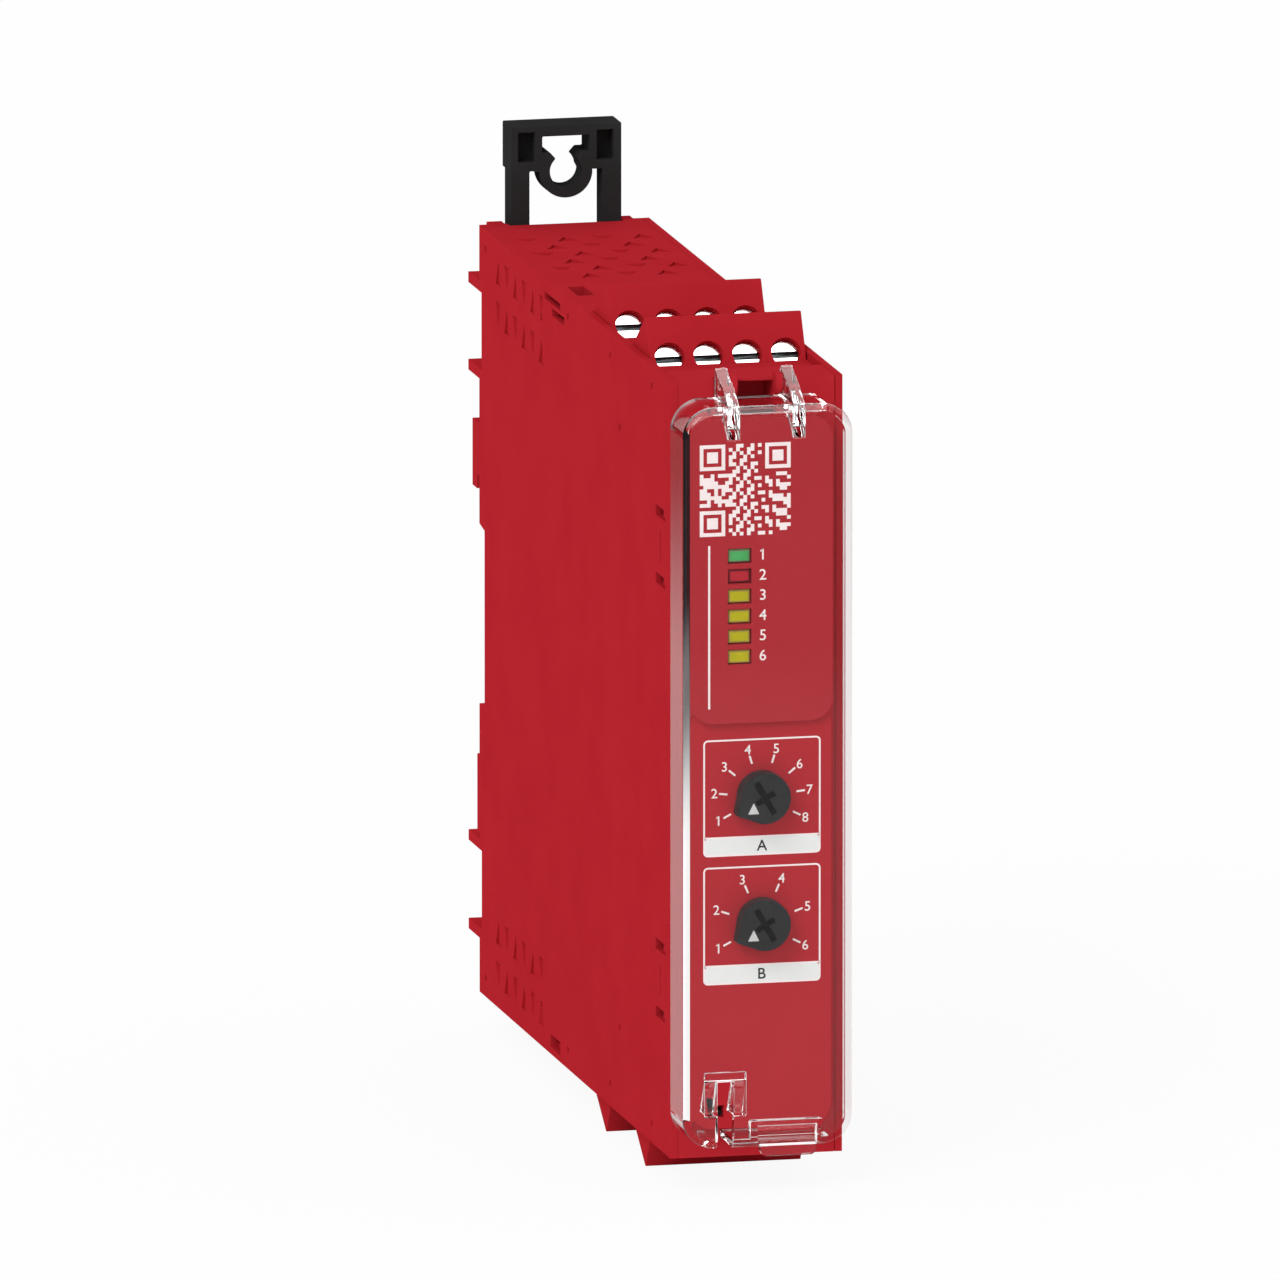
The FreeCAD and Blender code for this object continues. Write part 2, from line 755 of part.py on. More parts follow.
def cover_arms(face):
    """Hinge arms over the top edge, each with a gusset inside the cover."""
    side = [(front_y - forward, cover_high + rise) for forward, rise in arm_outline]
    ceiling = cover_high - cover_wall
    start = face + gusset_inset
    gusset = [(front_y - gusset_start, ceiling + 0.1), (start, ceiling + 0.1), (start, ceiling - gusset_drop)]
    arms = []
    for x0, x1 in arm_spans():
        arms += [prism_x(side, x0, x1), prism_x(gusset, x0, x1)]
    return arms


def clear_cover():
    rear = front_y - cover_gap
    face = front_y - cover_depth
    shell = union([cover_shell(face, rear)] + cover_pull(face) + cover_hoop(face))
    trough = rod_x(trough_radius, pull_left, pull_right, face, trough_z)
    seal_way = box(wire_left, wire_right, face - 1, rear + 1, cover_low - 1, hoop_top - hoop_bar)
    shell = cut(shell, [trough, seal_way])
    (l0, l1), (r0, r1) = arm_spans()
    reach = ear_gap + pin_length
    pins = [rod_x(pin_radius, l1 - 0.1, l1 + reach, pivot_y, pivot_z),
            rod_x(pin_radius, r0 - reach, r0 + 0.1, pivot_y, pivot_z)]
    return union([shell] + cover_arms(face) + pins)


# ---- selectors -------------------------------------------------------------------------
def knob(level):
    base = plinth_y - knob_gap
    top = base - knob_height
    disc = rod_y(knob_radius, top, base, 0, level)
    outline = []
    side_reach = knob_radius - 0.03
    for turn, reach in ((0, knob_beak), (beak_spread, side_reach), (-beak_spread, side_reach)):
        a = radians(knob_angle + turn)
        outline.append((reach * cos(a), level + reach * sin(a)))
    beak = prism_y([outline[0], outline[1], (0, level), outline[2]], top, base)
    shaft = rod_y(shaft_radius, base - 0.1, board_y - switch_height + shaft_engage, 0, level)
    half = knob_slot_width / 2
    floor = top + knob_slot_depth
    cross = [box(-slot_half_short, slot_half_short, top - 1, floor, level - half, level + half),
             box(-half, half, top - 1, floor, level - slot_half, level + slot_half)]
    for piece in cross:
        piece.rotate(V(0, 0, level), V(0, 1, 0), -knob_angle)
    return cut(union([disc, beak, shaft]), cross)


def rotary_switch(level):
    half = switch_size / 2
    front = board_y - switch_height
    body = box(-half, half, front, board_y, level - half, level + half)
    return cut(body, [rod_y(shaft_radius + shaft_fit, front - 1, front + shaft_engage + free, 0, level)])


# ---- sliders on the back ---------------------------------------------------------------
def lug_head():
    """Head of a slider in its drawn-out place: cross bar, window and split ring."""
    top = head_bottom + head_height
    bar = box(-slider_half, slider_half, slider_front, slider_back, head_bottom, top)
    centre = head_bottom - lug_drop
    ring = rod_y(lug_outer, slider_front, slider_front + arm_thickness, 0, centre)
    head = union([bar, ring])
    low = head_bottom + window_low
    y0 = slider_front - 1
    y1 = slider_back + 1
    tools = [box(-window_half, window_half, y0, y1, low, head_bottom + window_high)]
    tools.append(rod_y(lug_bore, y0, y1, 0, centre))
    throat = centre + sqrt(lug_bore ** 2 - lug_neck ** 2)
    mouth = window_half - 1
    tools.append(prism_y([(-lug_neck, throat - 0.2), (lug_neck, throat - 0.2), (lug_neck, throat),
                          (mouth, low), (-mouth, low), (-lug_neck, throat)], y0, y1))
    floor = head_bottom + pocket_floor
    for side in (1, -1):
        x0, x1 = sorted((side * pocket_inner, side * (pocket_inner + pocket_width)))
        tools.append(box(x0, x1, y0, slider_front + pocket_depth, floor, floor + pocket_height))
    return cut(head, tools)


def slider_arms(low, high):
    inner = slider_half - slider_arm
    back = slider_front + arm_thickness
    return [box(*sorted((side * inner, side * slider_half)), slider_front, back, low, high)
            for side in (1, -1)]


def mounting_slider():
    return union([lug_head()] + slider_arms(arm_bottom, head_bottom + 0.1))


def rail_latch():
    head = lug_head()
    head.translate(V(0, 0, -latch_shift))
    arms = slider_arms(-(head_bottom - latch_shift) - 0.1, latch_top - 0.1)
    low = latch_top - latch_bar
    bar = box(-slider_half, slider_half, slider_front, slider_front + arm_thickness, low, latch_top - free)
    nose_half = guide_in - guide_lip - free
    nose_top = -rail_edge + nose_rise
    nose = prism_x([(rail_flange, low), (rail_flange, nose_top), (rail_flange + nose_flat, nose_top),
                    (slider_back, -rail_edge - nose_rise), (slider_back, low)], -nose_half, nose_half)
    return union([mirrored_z(head), bar, nose] + arms)


def latch_spring():
    boss_top = -(head_bottom - lug_drop - latch_shift - lug_outer) + free + spring_boss
    low = boss_top + slip + spring_wire / 2
    high = latch_top - latch_bar - slip - spring_wire / 2
    radius = spring_radius - spring_wire / 2
    centre = slider_front + arm_thickness / 2
    helix = Part.makeHelix((high - low) / spring_turns, high - low, radius)
    helix.translate(V(0, centre, low))
    ring = Part.Wire([Part.makeCircle(spring_wire / 2, V(radius, centre, low), V(0, 1, 0))])
    return Part.Wire(helix.Edges).makePipeShell([ring], True, True)


# ---- electronics -----------------------------------------------------------------------
def front_board():
    return box(-front_board_half, front_board_half, board_y, board_y + board,
               -front_board_height, front_board_height)


def status_leds():
    half_x = led_width / 2
    half_z = led_length / 2
    return Part.makeCompound([box(lens_x - half_x, lens_x + half_x, board_y - led_height, board_y,
                                  z - half_z, z + half_z) for z in lens_levels()])


def main_board():
    front = board_y + board + free
    return box(main_board_x, main_face, front, main_board_rear, -main_board_half, main_board_half)


def logic_board():
    return box(logic_board_x, logic_board_x + board, -logic_front, -logic_rear, -logic_half, logic_half)


def safety_relay(level):
    case = box(main_face, main_face + relay_height, -relay_front, -relay_front + relay_length,
               level - relay_width / 2, level + relay_width / 2)
    edges = [e for e in case.Edges if e.BoundBox.XMin > main_face + relay_height - 0.01]
    return case.makeFillet(case_edge, edges)


def transformer_core():
    y0 = -core_rear - core_size
    half = core_size / 2 - 1
    frame = box(main_face + 1, main_face + core_height, y0, y0 + core_size, -half, half)
    windows = [box(main_face, main_face + core_height + 1, y0 + core_leg, y0 + core_size - core_leg,
                   side * half / 2 - half / 4, side * half / 2 + half / 4) for side in (1, -1)]
    return cut(frame, windows)


def transformer_coil():
    """Bobbin with its winding, round the core's middle leg, with two side flanges."""
    y0 = -core_rear - core_size
    half = core_size / 2 - 1
    y_in = y0 + core_leg + slip
    y_out = y0 + core_size - core_leg - slip
    reach = half * 3 / 4 - slip
    outer = box(main_face, main_face + core_height + 1, y_in, y_out, -reach, reach)
    middle = box(main_face + 1 - slip, main_face + core_height + slip, y_in - 1, y_out + 1,
                 -half / 4 - slip, half / 4 + slip)
    return outer.cut(middle)


def can(radius, tall, y, z):
    body = rod_x(radius, main_face, main_face + tall, y, z)
    return body.makeFillet(case_edge, [e for e in body.Edges if e.BoundBox.XMin > main_face + tall - 0.01])


def board_connector():
    start = -logic_front + connector_inset
    return box(main_face, logic_board_x, start, start + connector_thickness,
               -connector_length / 2, connector_length / 2)


def front_header():
    start = board_y + board
    top = main_board_half - header_inset
    return box(main_face, main_face + header_height, start, start + header_depth, top - header_length, top)


def microcontrollers():
    half = chip_size / 2
    return Part.makeCompound([box(logic_board_x - chip_height, logic_board_x, -chip_depth,
                                  -chip_depth + chip_size, z - half, z + half)
                              for z in (-chip_level, chip_level)])


# ---- the parts -------------------------------------------------------------------------
parts = {
    "housing_shell": housing_shell(),
    "side_lid": side_lid(),
    "front_bezel": front_bezel(),
    "label_panel": label_panel(),
    "clear_cover": clear_cover(),
    "cover_catch": cover_catch(),
    "start_knob": knob(start_z),
    "function_knob": knob(function_z),
    "start_switch": rotary_switch(start_z),
    "function_switch": rotary_switch(function_z),
    "mounting_slider": mounting_slider(),
    "rail_latch": rail_latch(),
    "latch_spring": latch_spring(),
    "status_leds": status_leds(),
    "front_board": front_board(),
    "main_board": main_board(),
    "logic_board": logic_board(),
    "board_connector": board_connector(),
    "front_header": front_header(),
    "microcontrollers": microcontrollers(),
    "transformer_core": transformer_core(),
    "transformer_coil": transformer_coil(),
    "storage_capacitor": can(can_radius, can_height, -can_depth, can_level),
    "filter_capacitor": can(small_can_radius, small_can_height, -can_depth, -can_level),
}
lens_names = ["power", "fault", "state", "start", "input_one", "input_two"]
for name, level in zip(lens_names, lens_levels()):
    parts[name + "_lens"] = led_lens(level)
for number, place in enumerate((1, 0, -1), start=1):
    parts["safety_relay_%d" % number] = safety_relay(place * relay_pitch)
for row, tip in (("front", front_tip), ("rear", rear_tip)):
    for kind, build in (("terminal_block", terminal_block), ("clamp_cages", clamp_cages),
                        ("terminal_screws", terminal_screws)):
        upper = build(tip)
        parts["upper_%s_%s" % (row, kind)] = upper
        parts["lower_%s_%s" % (row, kind)] = mirrored_z(upper)

os.makedirs("parts", exist_ok=True)
for name, shape in parts.items():
    solids_of(shape).exportStep("parts/%s.step" % name)
    print(name, len(shape.Solids), round(shape.Volume, 1), shape.isValid())
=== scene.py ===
from math import cos, hypot, radians, sin

import bmesh
import bpy
from mathutils import Matrix, Vector


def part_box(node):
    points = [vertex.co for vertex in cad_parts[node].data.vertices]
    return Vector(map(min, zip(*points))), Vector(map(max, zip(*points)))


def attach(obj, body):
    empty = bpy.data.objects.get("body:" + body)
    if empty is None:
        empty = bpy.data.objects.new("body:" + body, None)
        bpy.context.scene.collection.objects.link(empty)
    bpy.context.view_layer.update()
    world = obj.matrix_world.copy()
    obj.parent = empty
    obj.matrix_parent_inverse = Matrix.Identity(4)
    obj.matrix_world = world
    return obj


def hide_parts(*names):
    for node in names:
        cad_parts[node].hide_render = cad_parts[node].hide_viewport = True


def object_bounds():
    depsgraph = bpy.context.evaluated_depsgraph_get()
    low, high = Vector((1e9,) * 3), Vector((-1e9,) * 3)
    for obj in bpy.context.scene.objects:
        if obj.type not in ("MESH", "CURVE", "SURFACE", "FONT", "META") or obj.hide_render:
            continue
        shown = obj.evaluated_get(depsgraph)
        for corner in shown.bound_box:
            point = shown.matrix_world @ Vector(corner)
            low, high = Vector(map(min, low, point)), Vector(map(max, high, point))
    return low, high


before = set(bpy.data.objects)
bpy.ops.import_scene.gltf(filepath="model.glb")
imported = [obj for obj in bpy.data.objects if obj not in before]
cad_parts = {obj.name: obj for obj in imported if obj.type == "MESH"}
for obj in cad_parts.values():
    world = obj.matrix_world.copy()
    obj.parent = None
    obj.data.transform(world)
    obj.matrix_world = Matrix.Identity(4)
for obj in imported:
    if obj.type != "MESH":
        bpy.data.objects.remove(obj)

cad_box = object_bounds()

# Safety relay in a slim red housing, with a hinged clear cover over two selector knobs.
# The frame is the CAD's: X across, -Y to the front, +Z up. The script's own lengths are in
# millimetres, and mm turns them to Blender's metres.
mm = 0.001

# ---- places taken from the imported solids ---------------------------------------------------
panel_low, panel_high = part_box("label_panel")
knob_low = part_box("start_knob")[0]
panel_face = panel_low.y / mm            # front of the label panel
plinth_face = panel_high.y / mm          # front of the plinth under it
knob_top = knob_low.y / mm               # front of both knobs
start_z = -3.1                           # knob centres
function_z = -19.6
recess_rim = 0.2                         # a knob's cross recess, painted darker as shade: its faces lie between these depths
recess_depth = 1.1
recess_radius = 2.6                      # and within this of the knob's axis
plate_tilt = radians(28.5)               # terminal plates and screws, from upright
slot_sunk = 0.8                          # a screw's slot, painted dark as shade, under its head's face
slot_rim = 0.05                          # the head's own face ends at this depth
slot_reach = 0.45                        # half the band that holds the slots
lens_bevel = 0.22
cover_ior = 1.45                         # under polycarbonate's own 1.58, chosen
film_ior = 1.2                           # mirror strength of the cover's side walls
wall_facing = 0.95                       # sideways share of a face's normal: the left wall's outer face
wall_skin = 0.05                         # and how far that face may lie from the cover's side
edge_facing = 0.08                       # the right wall's outer face, with its edge and corners
inner_facing = 0.3                       # and the right wall's inner face
corner_reach = 4.2                       # the cover's rounded corners reach this far in from its sides
world_light = 0.72
lamp_light = 1.2
soft_box_light = 4.0
lens_names = ["power_lens", "fault_lens", "state_lens", "start_lens", "input_one_lens", "input_two_lens"]

# ---- softening of the sharp edges ----------------------------------------------------------
housing_edge = 0.03
bezel_edge = 0.04
panel_edge = 0.06
cover_edge = 0.18
slider_edge = 0.15
block_edge = 0.1
knob_edge = 0.12

# ---- print on the front --------------------------------------------------------------------
ink = 0.02                               # thickness of the printed ink
lift = 0.004                             # ink's underside over the surface
dial_left = -7.6
dial_right = 7.75
dial_x = 0.08
start_dial = (4.3, -10.88, -3.33, 8)     # box top, box bottom, middle of its ring of ticks, positions
function_dial = (-12.25, -27.55, -19.93, 6)
strip_height = 2.55
line_width = 0.22
corner = 0.6
tick_start = 4.55
tick_end = 5.65
tick_width = 0.25
number_ring = 6.25
number_height = 1.24
number_spread = 0.25                     # numbers above and below the knob stand this much farther out
strip_letter_height = 1.4
lens_number_height = 1.39
lens_number_lift = 0.15                  # over its lens's middle
letter_weight = 0.006                    # strokes widened by this share of the font's size
flag_left = 0.13                         # the flag on a 1, as shares of the number's height
flag_up = 0.38
flag_length = 0.32
flag_width = 0.1
flag_turn = 40.0
panel_line = (-7.02, 19.1, 0.27, 21.2)   # upright line on the label panel: middle x and z, width, height
mark_corners = [(-2.3, -1.95), (-0.85, -1.95), (-1.57, -0.5)]  # a knob's triangle, from its centre
mark_corner = 0.1
first_angle = 207.0
last_angle = -27.0
code_left = -8.25                        # square of small marks on the label panel
code_low = 30.9
code_cell = 0.475
code_cells = 25
ring_cells = 7                           # a corner ring's width, its middle cell and its quiet border
ring_middle = 3
ring_border = 5

# ---- surroundings --------------------------------------------------------------------------
unlit_room = "#1C1C1E"
toward_viewer = (-0.22, -0.975, 0.0)
soft_box_edge = (0.2, 0.5)               # height of a ray's direction where the soft box begins, is full
front_edge = (0.3, 0.5)                  # the same for rays that leave toward the viewer
floor_glow = 0.93                        # share of a seen floor that is even white
floor_half = 4.0                         # metres
floor_gap = 0.2
floor_near = (0.25, 0.4)                 # metres from the origin where mirrored white turns grey
floor_far = (0.42, 0.5)                  # and grey turns unlit
floor_front = (-0.11, -0.08)             # metres from front to back where mirrored pale ends
lamp_direction = (1, 1, -1.2)
lamp_spread = 30
camera_azimuth = -12.94
camera_elevation = 11.15
camera_depth = -0.110                    # metres: plane the camera aims at, then its aim in millimetres
camera_left = 14.835
camera_up = 16.19
picture_width = 163.2
sensor = 36.0
focal_length = 1650.0


# ---- colours -------------------------------------------------------------------------------
def linear(code, alpha=1.0):
    """An sRGB hex colour as linear values."""
    channels = [int(code[i:i + 2], 16) / 255 for i in (1, 3, 5)]
    return [c / 12.92 if c <= 0.04045 else ((c + 0.055) / 1.055) ** 2.4 for c in channels] + [alpha]


# ---- nodes ---------------------------------------------------------------------------------
def put(tree, kind, sockets=None, **settings):
    """Adds a node: settings go on the node, sockets get a value or a link from another node's output."""
    node = tree.nodes.new(kind)
    for name, value in settings.items():
        setattr(node, name, value)
    for name, value in (sockets or {}).items():
        if isinstance(value, bpy.types.NodeSocket):
            tree.links.new(value, node.inputs[name])
        else:
            node.inputs[name].default_value = value
    return node


def blank(name):
    """A material with only its output, and its tree."""
    material = bpy.data.materials.new(name)
    material.use_nodes = True
    material.node_tree.nodes.clear()
    return material, material.node_tree


def close(tree, shader):
    put(tree, "ShaderNodeOutputMaterial", {"Surface": shader})


def grain(tree, size, strength, depth, detail=2.0):
    """A moulded surface's grain as a bump: size and depth in millimetres."""
    place = put(tree, "ShaderNodeTexCoord")
    noise = put(tree, "ShaderNodeTexNoise",
                {"Vector": place.outputs["Object"], "Scale": 1 / (size * mm), "Detail": detail})
    bump = put(tree, "ShaderNodeBump",
               {"Height": noise.outputs["Fac"], "Strength": strength, "Distance": depth * mm})
    return bump.outputs["Normal"]


def mottled(tree, dark, light, size):
    """A colour that drifts between two close shades over patches of this size."""
    place = put(tree, "ShaderNodeTexCoord")
    noise = put(tree, "ShaderNodeTexNoise",
                {"Vector": place.outputs["Object"], "Scale": 1 / (size * mm), "Detail": 3.0})
    ramp = put(tree, "ShaderNodeValToRGB", {"Fac": noise.outputs["Fac"]})
    ramp.color_ramp.elements[0].position = 0.3
    ramp.color_ramp.elements[1].position = 0.7
    ramp.color_ramp.elements[0].color = linear(dark)
    ramp.color_ramp.elements[1].color = linear(light)
    return ramp.outputs["Color"]


def plain(name, dark, light, patch, roughness, specular=0.5, metallic=0.0, ior=1.5,
          grain_size=0.3, grain_depth=0.004, strength=0.4):
    """An opaque finish: a drifting colour, a moulded or worked grain and a gloss."""
    material, tree = blank(name)
    shader = put(tree, "ShaderNodeBsdfPrincipled",
                 {"Base Color": mottled(tree, dark, light, patch), "Roughness": roughness, "IOR": ior,
                  "Metallic": metallic, "Specular IOR Level": specular,
                  "Normal": grain(tree, grain_size, strength, grain_depth)})
    close(tree, shader.outputs["BSDF"])
    return material


# Polyamide from a spark-eroded mould: even red with a fine grain. The grain breaks up its gloss
# so far that no reflection shows, even along the long side walls.
red_polyamide = plain("moulded_red_polyamide", "#B1232C", "#B5262F", 9.0, 0.7, specular=0.0, ior=1.53)
# The front's pieces come from a smoother mould, in a very slightly paler red.
red_front = plain("smooth_moulded_red_polyamide", "#B2252E", "#B62831", 12.0, 0.5, specular=0.0, ior=1.53)
# The label plate is printed red over its whole face, a touch greyer than the housing.
red_label = plain("printed_red_label_plate", "#AD252E", "#B12831", 14.0, 0.45, specular=0.1, ior=1.5)
# Glass-filled polyamide, dyed black: dark grey in the light, with a coarse dull grain.
black_nylon = plain("black_glass_filled_polyamide", "#2A2A2A", "#2F2F30", 5.0, 0.6, specular=0.0,
                    ior=1.53, grain_size=0.35, grain_depth=0.008)
# Acetal knobs: smoother than the sliders, with a slight gloss. Their cross recess is painted a darker, dull
# black as painted shade.
black_acetal = plain("moulded_black_acetal", "#242425", "#292A2B", 4.0, 0.45, specular=0.15, ior=1.48)
painted_shade_acetal = plain("black_acetal_painted_recess_shade", "#101011", "#151516", 4.0, 0.6, specular=0.0, ior=1.48)
# Nickel-plated screw heads: bright, with a trace of the turning.
nickel = plain("nickel_plated_steel", "#E9E9E7", "#F4F4F2", 1.5, 0.16, metallic=1.0,
               grain_size=0.2, grain_depth=0.003)
# The slots are painted nearly black, as painted shade in them.
painted_slot_shade_steel = plain("steel_with_painted_slot_shade", "#2A3033", "#454B4D", 0.8, 0.35, metallic=0.6, grain_size=0.2)
zinc = plain("zinc_plated_steel", "#B9BBBC", "#CBCDCE", 2.0, 0.32, metallic=1.0, grain_size=0.25)
spring_wire = plain("drawn_spring_steel", "#8C8E90", "#A2A4A6", 1.0, 0.3, metallic=1.0, grain_size=0.15)
# Parts inside, seen only through the wire entries or with a side taken off.
solder_mask = plain("green_solder_mask", "#1D4A2C", "#235734", 3.0, 0.35, specular=0.5, grain_size=0.5)
relay_case = plain("moulded_relay_case", "#D8D6CE", "#E0DED6", 6.0, 0.45, specular=0.4)
black_case = plain("moulded_component_black", "#1F1F21", "#262628", 3.0, 0.5, specular=0.4)
ferrite = plain("pressed_ferrite", "#333336", "#3E3E41", 1.2, 0.5, metallic=0.3, grain_size=0.3,
                grain_depth=0.01)
tape = plain("yellow_polyester_tape", "#C9A63A", "#D2B046", 2.0, 0.35, specular=0.4)
sleeve = plain("capacitor_sleeve", "#2B3F66", "#31466F", 3.0, 0.35, specular=0.5)
led_case = plain("white_led_package", "#E4E2DA", "#ECEAE2", 1.0, 0.5, specular=0.4)
# Printing inks: matt, thin and slightly uneven, the white one warmed by the red under it.
white_ink = plain("white_pad_printed_ink", "#FBE9E8", "#FFF2F1", 2.0, 0.6, specular=0.1, grain_size=0.2)
grey_ink = plain("light_grey_screen_printed_ink", "#EBEDEB", "#F0F1EF", 3.0, 0.55, specular=0.1,
                 grain_size=0.2)
black_ink = plain("black_screen_printed_ink", "#1A1A1B", "#212122", 1.5, 0.5, specular=0.1, grain_size=0.2)
mark_ink = plain("grey_printed_mark", "#C9C9C7", "#D2D2D0", 1.0, 0.5, specular=0.1, grain_size=0.2)


def tinted_lens(name, dark, light):
    """Coloured acrylic: an even satin colour with a faint painted glow, as if lit by the lamp behind it."""
    material, tree = blank(name)
    colour = mottled(tree, dark, light, 1.6)
    shader = put(tree, "ShaderNodeBsdfPrincipled",
                 {"Base Color": colour, "Roughness": 0.35, "IOR": 1.49, "Specular IOR Level": 0.2,
                  "Emission Color": colour, "Emission Strength": 0.08,
                  "Normal": grain(tree, 0.4, 0.3, 0.004)})
    close(tree, shader.outputs["BSDF"])
    return material


# A lens's ground bevel scatters the light: paler than the face in green and yellow, duller in red.
green_lens = tinted_lens("green_acrylic_lens", "#41A054", "#4BAB5F")
green_bevel = tinted_lens("ground_green_acrylic_edge", "#7FA873", "#8CB180")
red_lens = tinted_lens("red_acrylic_lens", "#AE1B2B", "#B8202F")
red_bevel = tinted_lens("ground_red_acrylic_edge", "#8E2833", "#962D38")
yellow_lens = tinted_lens("yellow_acrylic_lens", "#AEA704", "#B8B010")
yellow_bevel = tinted_lens("ground_yellow_acrylic_edge", "#BFB254", "#C9BC60")


def clear_polycarbonate(name, thin):
    """Polished polycarbonate: clear faces, bright and dark edges. Light passes to what is behind.
    A thin face lets the view straight through and only mirrors, alike from both of its sides."""
    material, tree = blank(name)
    air = put(tree, "ShaderNodeBsdfTransparent", {"Color": linear("#FFFFFF")})
    if thin:
        side = put(tree, "ShaderNodeNewGeometry")
        ior = put(tree, "ShaderNodeMapRange", {"Value": side.outputs["Backfacing"], "To Min": film_ior,
                                               "To Max": 1 / film_ior})
        mirror = put(tree, "ShaderNodeFresnel", {"IOR": ior.outputs["Result"]})
        gloss = put(tree, "ShaderNodeBsdfGlossy", {"Color": linear("#FFFFFF"), "Roughness": 0.0})
        glass = put(tree, "ShaderNodeMixShader", {0: mirror.outputs["Fac"], 1: air.outputs["BSDF"],
                                                  2: gloss.outputs["BSDF"]}).outputs["Shader"]
    else:
        glass = put(tree, "ShaderNodeBsdfPrincipled",
                    {"Base Color": linear("#FFFFFF"), "Roughness": 0.0, "IOR": cover_ior,
                     "Transmission Weight": 1.0}).outputs["BSDF"]
    path = put(tree, "ShaderNodeLightPath")
    soft = put(tree, "ShaderNodeMath", {0: path.outputs["Is Shadow Ray"], 1: path.outputs["Is Diffuse Ray"]},
               operation="MAXIMUM")
    mix = put(tree, "ShaderNodeMixShader",
              {0: soft.outputs["Value"], 1: glass, 2: air.outputs["BSDF"]})
    close(tree, mix.outputs["Shader"])
    return material


cover_plastic = clear_polycarbonate("polished_clear_polycarbonate", thin=False)
cover_wall = clear_polycarbonate("clear_polycarbonate_outer_wall", thin=True)


# ---- making pieces -------------------------------------------------------------------------
def finished(name, bm, materials, body, sharp=35.0):
    """A piece from a bmesh, with smooth faces between its sharp edges, riding on a body."""
    mesh = bpy.data.meshes.new(name)
    bm.to_mesh(mesh)
    bm.free()
    for material in materials:
        mesh.materials.append(material)
    mesh.polygons.foreach_set("use_smooth", [True] * len(mesh.polygons))
    mesh.set_sharp_from_angle(angle=radians(sharp))
    piece = bpy.data.objects.new(name, mesh)
    bpy.context.scene.collection.objects.link(piece)
    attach(piece, body)
    return piece


def copy_of(node):
    """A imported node's mesh as one closed skin of flat faces."""
    bm = bmesh.new()
    bm.from_mesh(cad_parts[node].data)
    bmesh.ops.remove_doubles(bm, verts=bm.verts, dist=0.001 * mm)
    bmesh.ops.dissolve_limit(bm, angle_limit=radians(1), verts=bm.verts, edges=bm.edges)
    return bm


def stand_in(node, bm, body, slot, *materials):
    """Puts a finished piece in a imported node's place, its flat faces kept evenly shaded."""
    piece = finished(node + "_moulding", bm, materials, body)
    even = piece.modifiers.new("even_flats", "WEIGHTED_NORMAL")
    even.keep_sharp = True
    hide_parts(node)
    return piece


def rounded(node, radius, shortest=0.7):
    """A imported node's mesh with its long sharp edges slightly rounded."""
    bm = copy_of(node)
    sharp = [e for e in bm.edges if e.is_manifold and e.calc_face_angle(0) > radians(40)
             and e.calc_length() > shortest * mm]
    bmesh.ops.bevel(bm, geom=sharp, offset=radius * mm, offset_type="OFFSET", segments=2, profile=0.5,
                    affect="EDGES", clamp_overlap=False, material=-1)
    return bm


def softened(node, body, material, slot, radius):
    """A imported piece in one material, with its sharp edges slightly rounded."""
    return stand_in(node, rounded(node, radius), body, slot, material)


def polished_cover(node, body, slot, radius):
    """The clear cover. The left wall's outer face and the right wall with its edge and corners let
    the view straight through; all its other faces bend it."""
    bm = rounded(node, radius)
    low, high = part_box(node)
    for face in bm.faces:
        x = face.calc_center_median().x
        left = face.normal.x < -wall_facing and x - low.x < wall_skin * mm
        inside = face.normal.x < -inner_facing and abs(face.normal.y) < inner_facing
        right = (face.normal.x > edge_facing or inside) and high.x - x < corner_reach * mm
        if left or right:
            face.material_index = 1
    return stand_in(node, bm, body, slot, cover_plastic, cover_wall)


def lens(node, slot, face_material, bevel_material):
    """An indicator lens with a ground bevel round its face."""
    bm = copy_of(node)
    front = min(v.co.y for v in bm.verts)
    rim = [e for e in bm.edges if all(v.co.y < front + 0.01 * mm for v in e.verts)]
    ground = bmesh.ops.bevel(bm, geom=rim, offset=lens_bevel * mm, offset_type="OFFSET", segments=1,
                             profile=0.5, affect="EDGES", clamp_overlap=False, material=-1)
    for face in ground["faces"]:
        face.material_index = 1
    return stand_in(node, bm, "housing", slot, face_material, bevel_material)


def knob(node, body, level):
    """A selector's knob, with painted shade in its cross recess: a darker, dull black there."""
    bm = rounded(node, knob_edge)
    for face in bm.faces:
        centre = face.calc_center_median() / mm
        sunk = centre.y - knob_top
        if recess_rim < sunk < recess_depth and hypot(centre.x, centre.z - level) < recess_radius:
            face.material_index = 1
    return stand_in(node, bm, body, "black_plastic", black_acetal, painted_shade_acetal)


def terminal_screws(node, side):
    """Bright screw heads whose slots, sunk in the heads, are painted dark as shade. side is 1 above and -1
    below.
    """
    bm = copy_of(node)
    out = Vector((0, -cos(plate_tilt), side * sin(plate_tilt)))
    across = Vector((0, sin(plate_tilt), side * cos(plate_tilt)))
    top = max(v.co.dot(out) for v in bm.verts)
    reach = [v.co.dot(across) for v in bm.verts]
    middle = (max(reach) + min(reach)) / 2
    for face in bm.faces:
        centre = face.calc_center_median()
        sunk = top - centre.dot(out)
        in_band = abs(centre.dot(across) - middle) < slot_reach * mm
        if slot_rim * mm < sunk < slot_sunk * mm and in_band:
            face.material_index = 1
    return stand_in(node, bm, "housing", "screw_steel", nickel, painted_slot_shade_steel)


def recolour(material, *nodes):
    for node in nodes:
        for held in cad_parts[node].material_slots:
            held.material = material


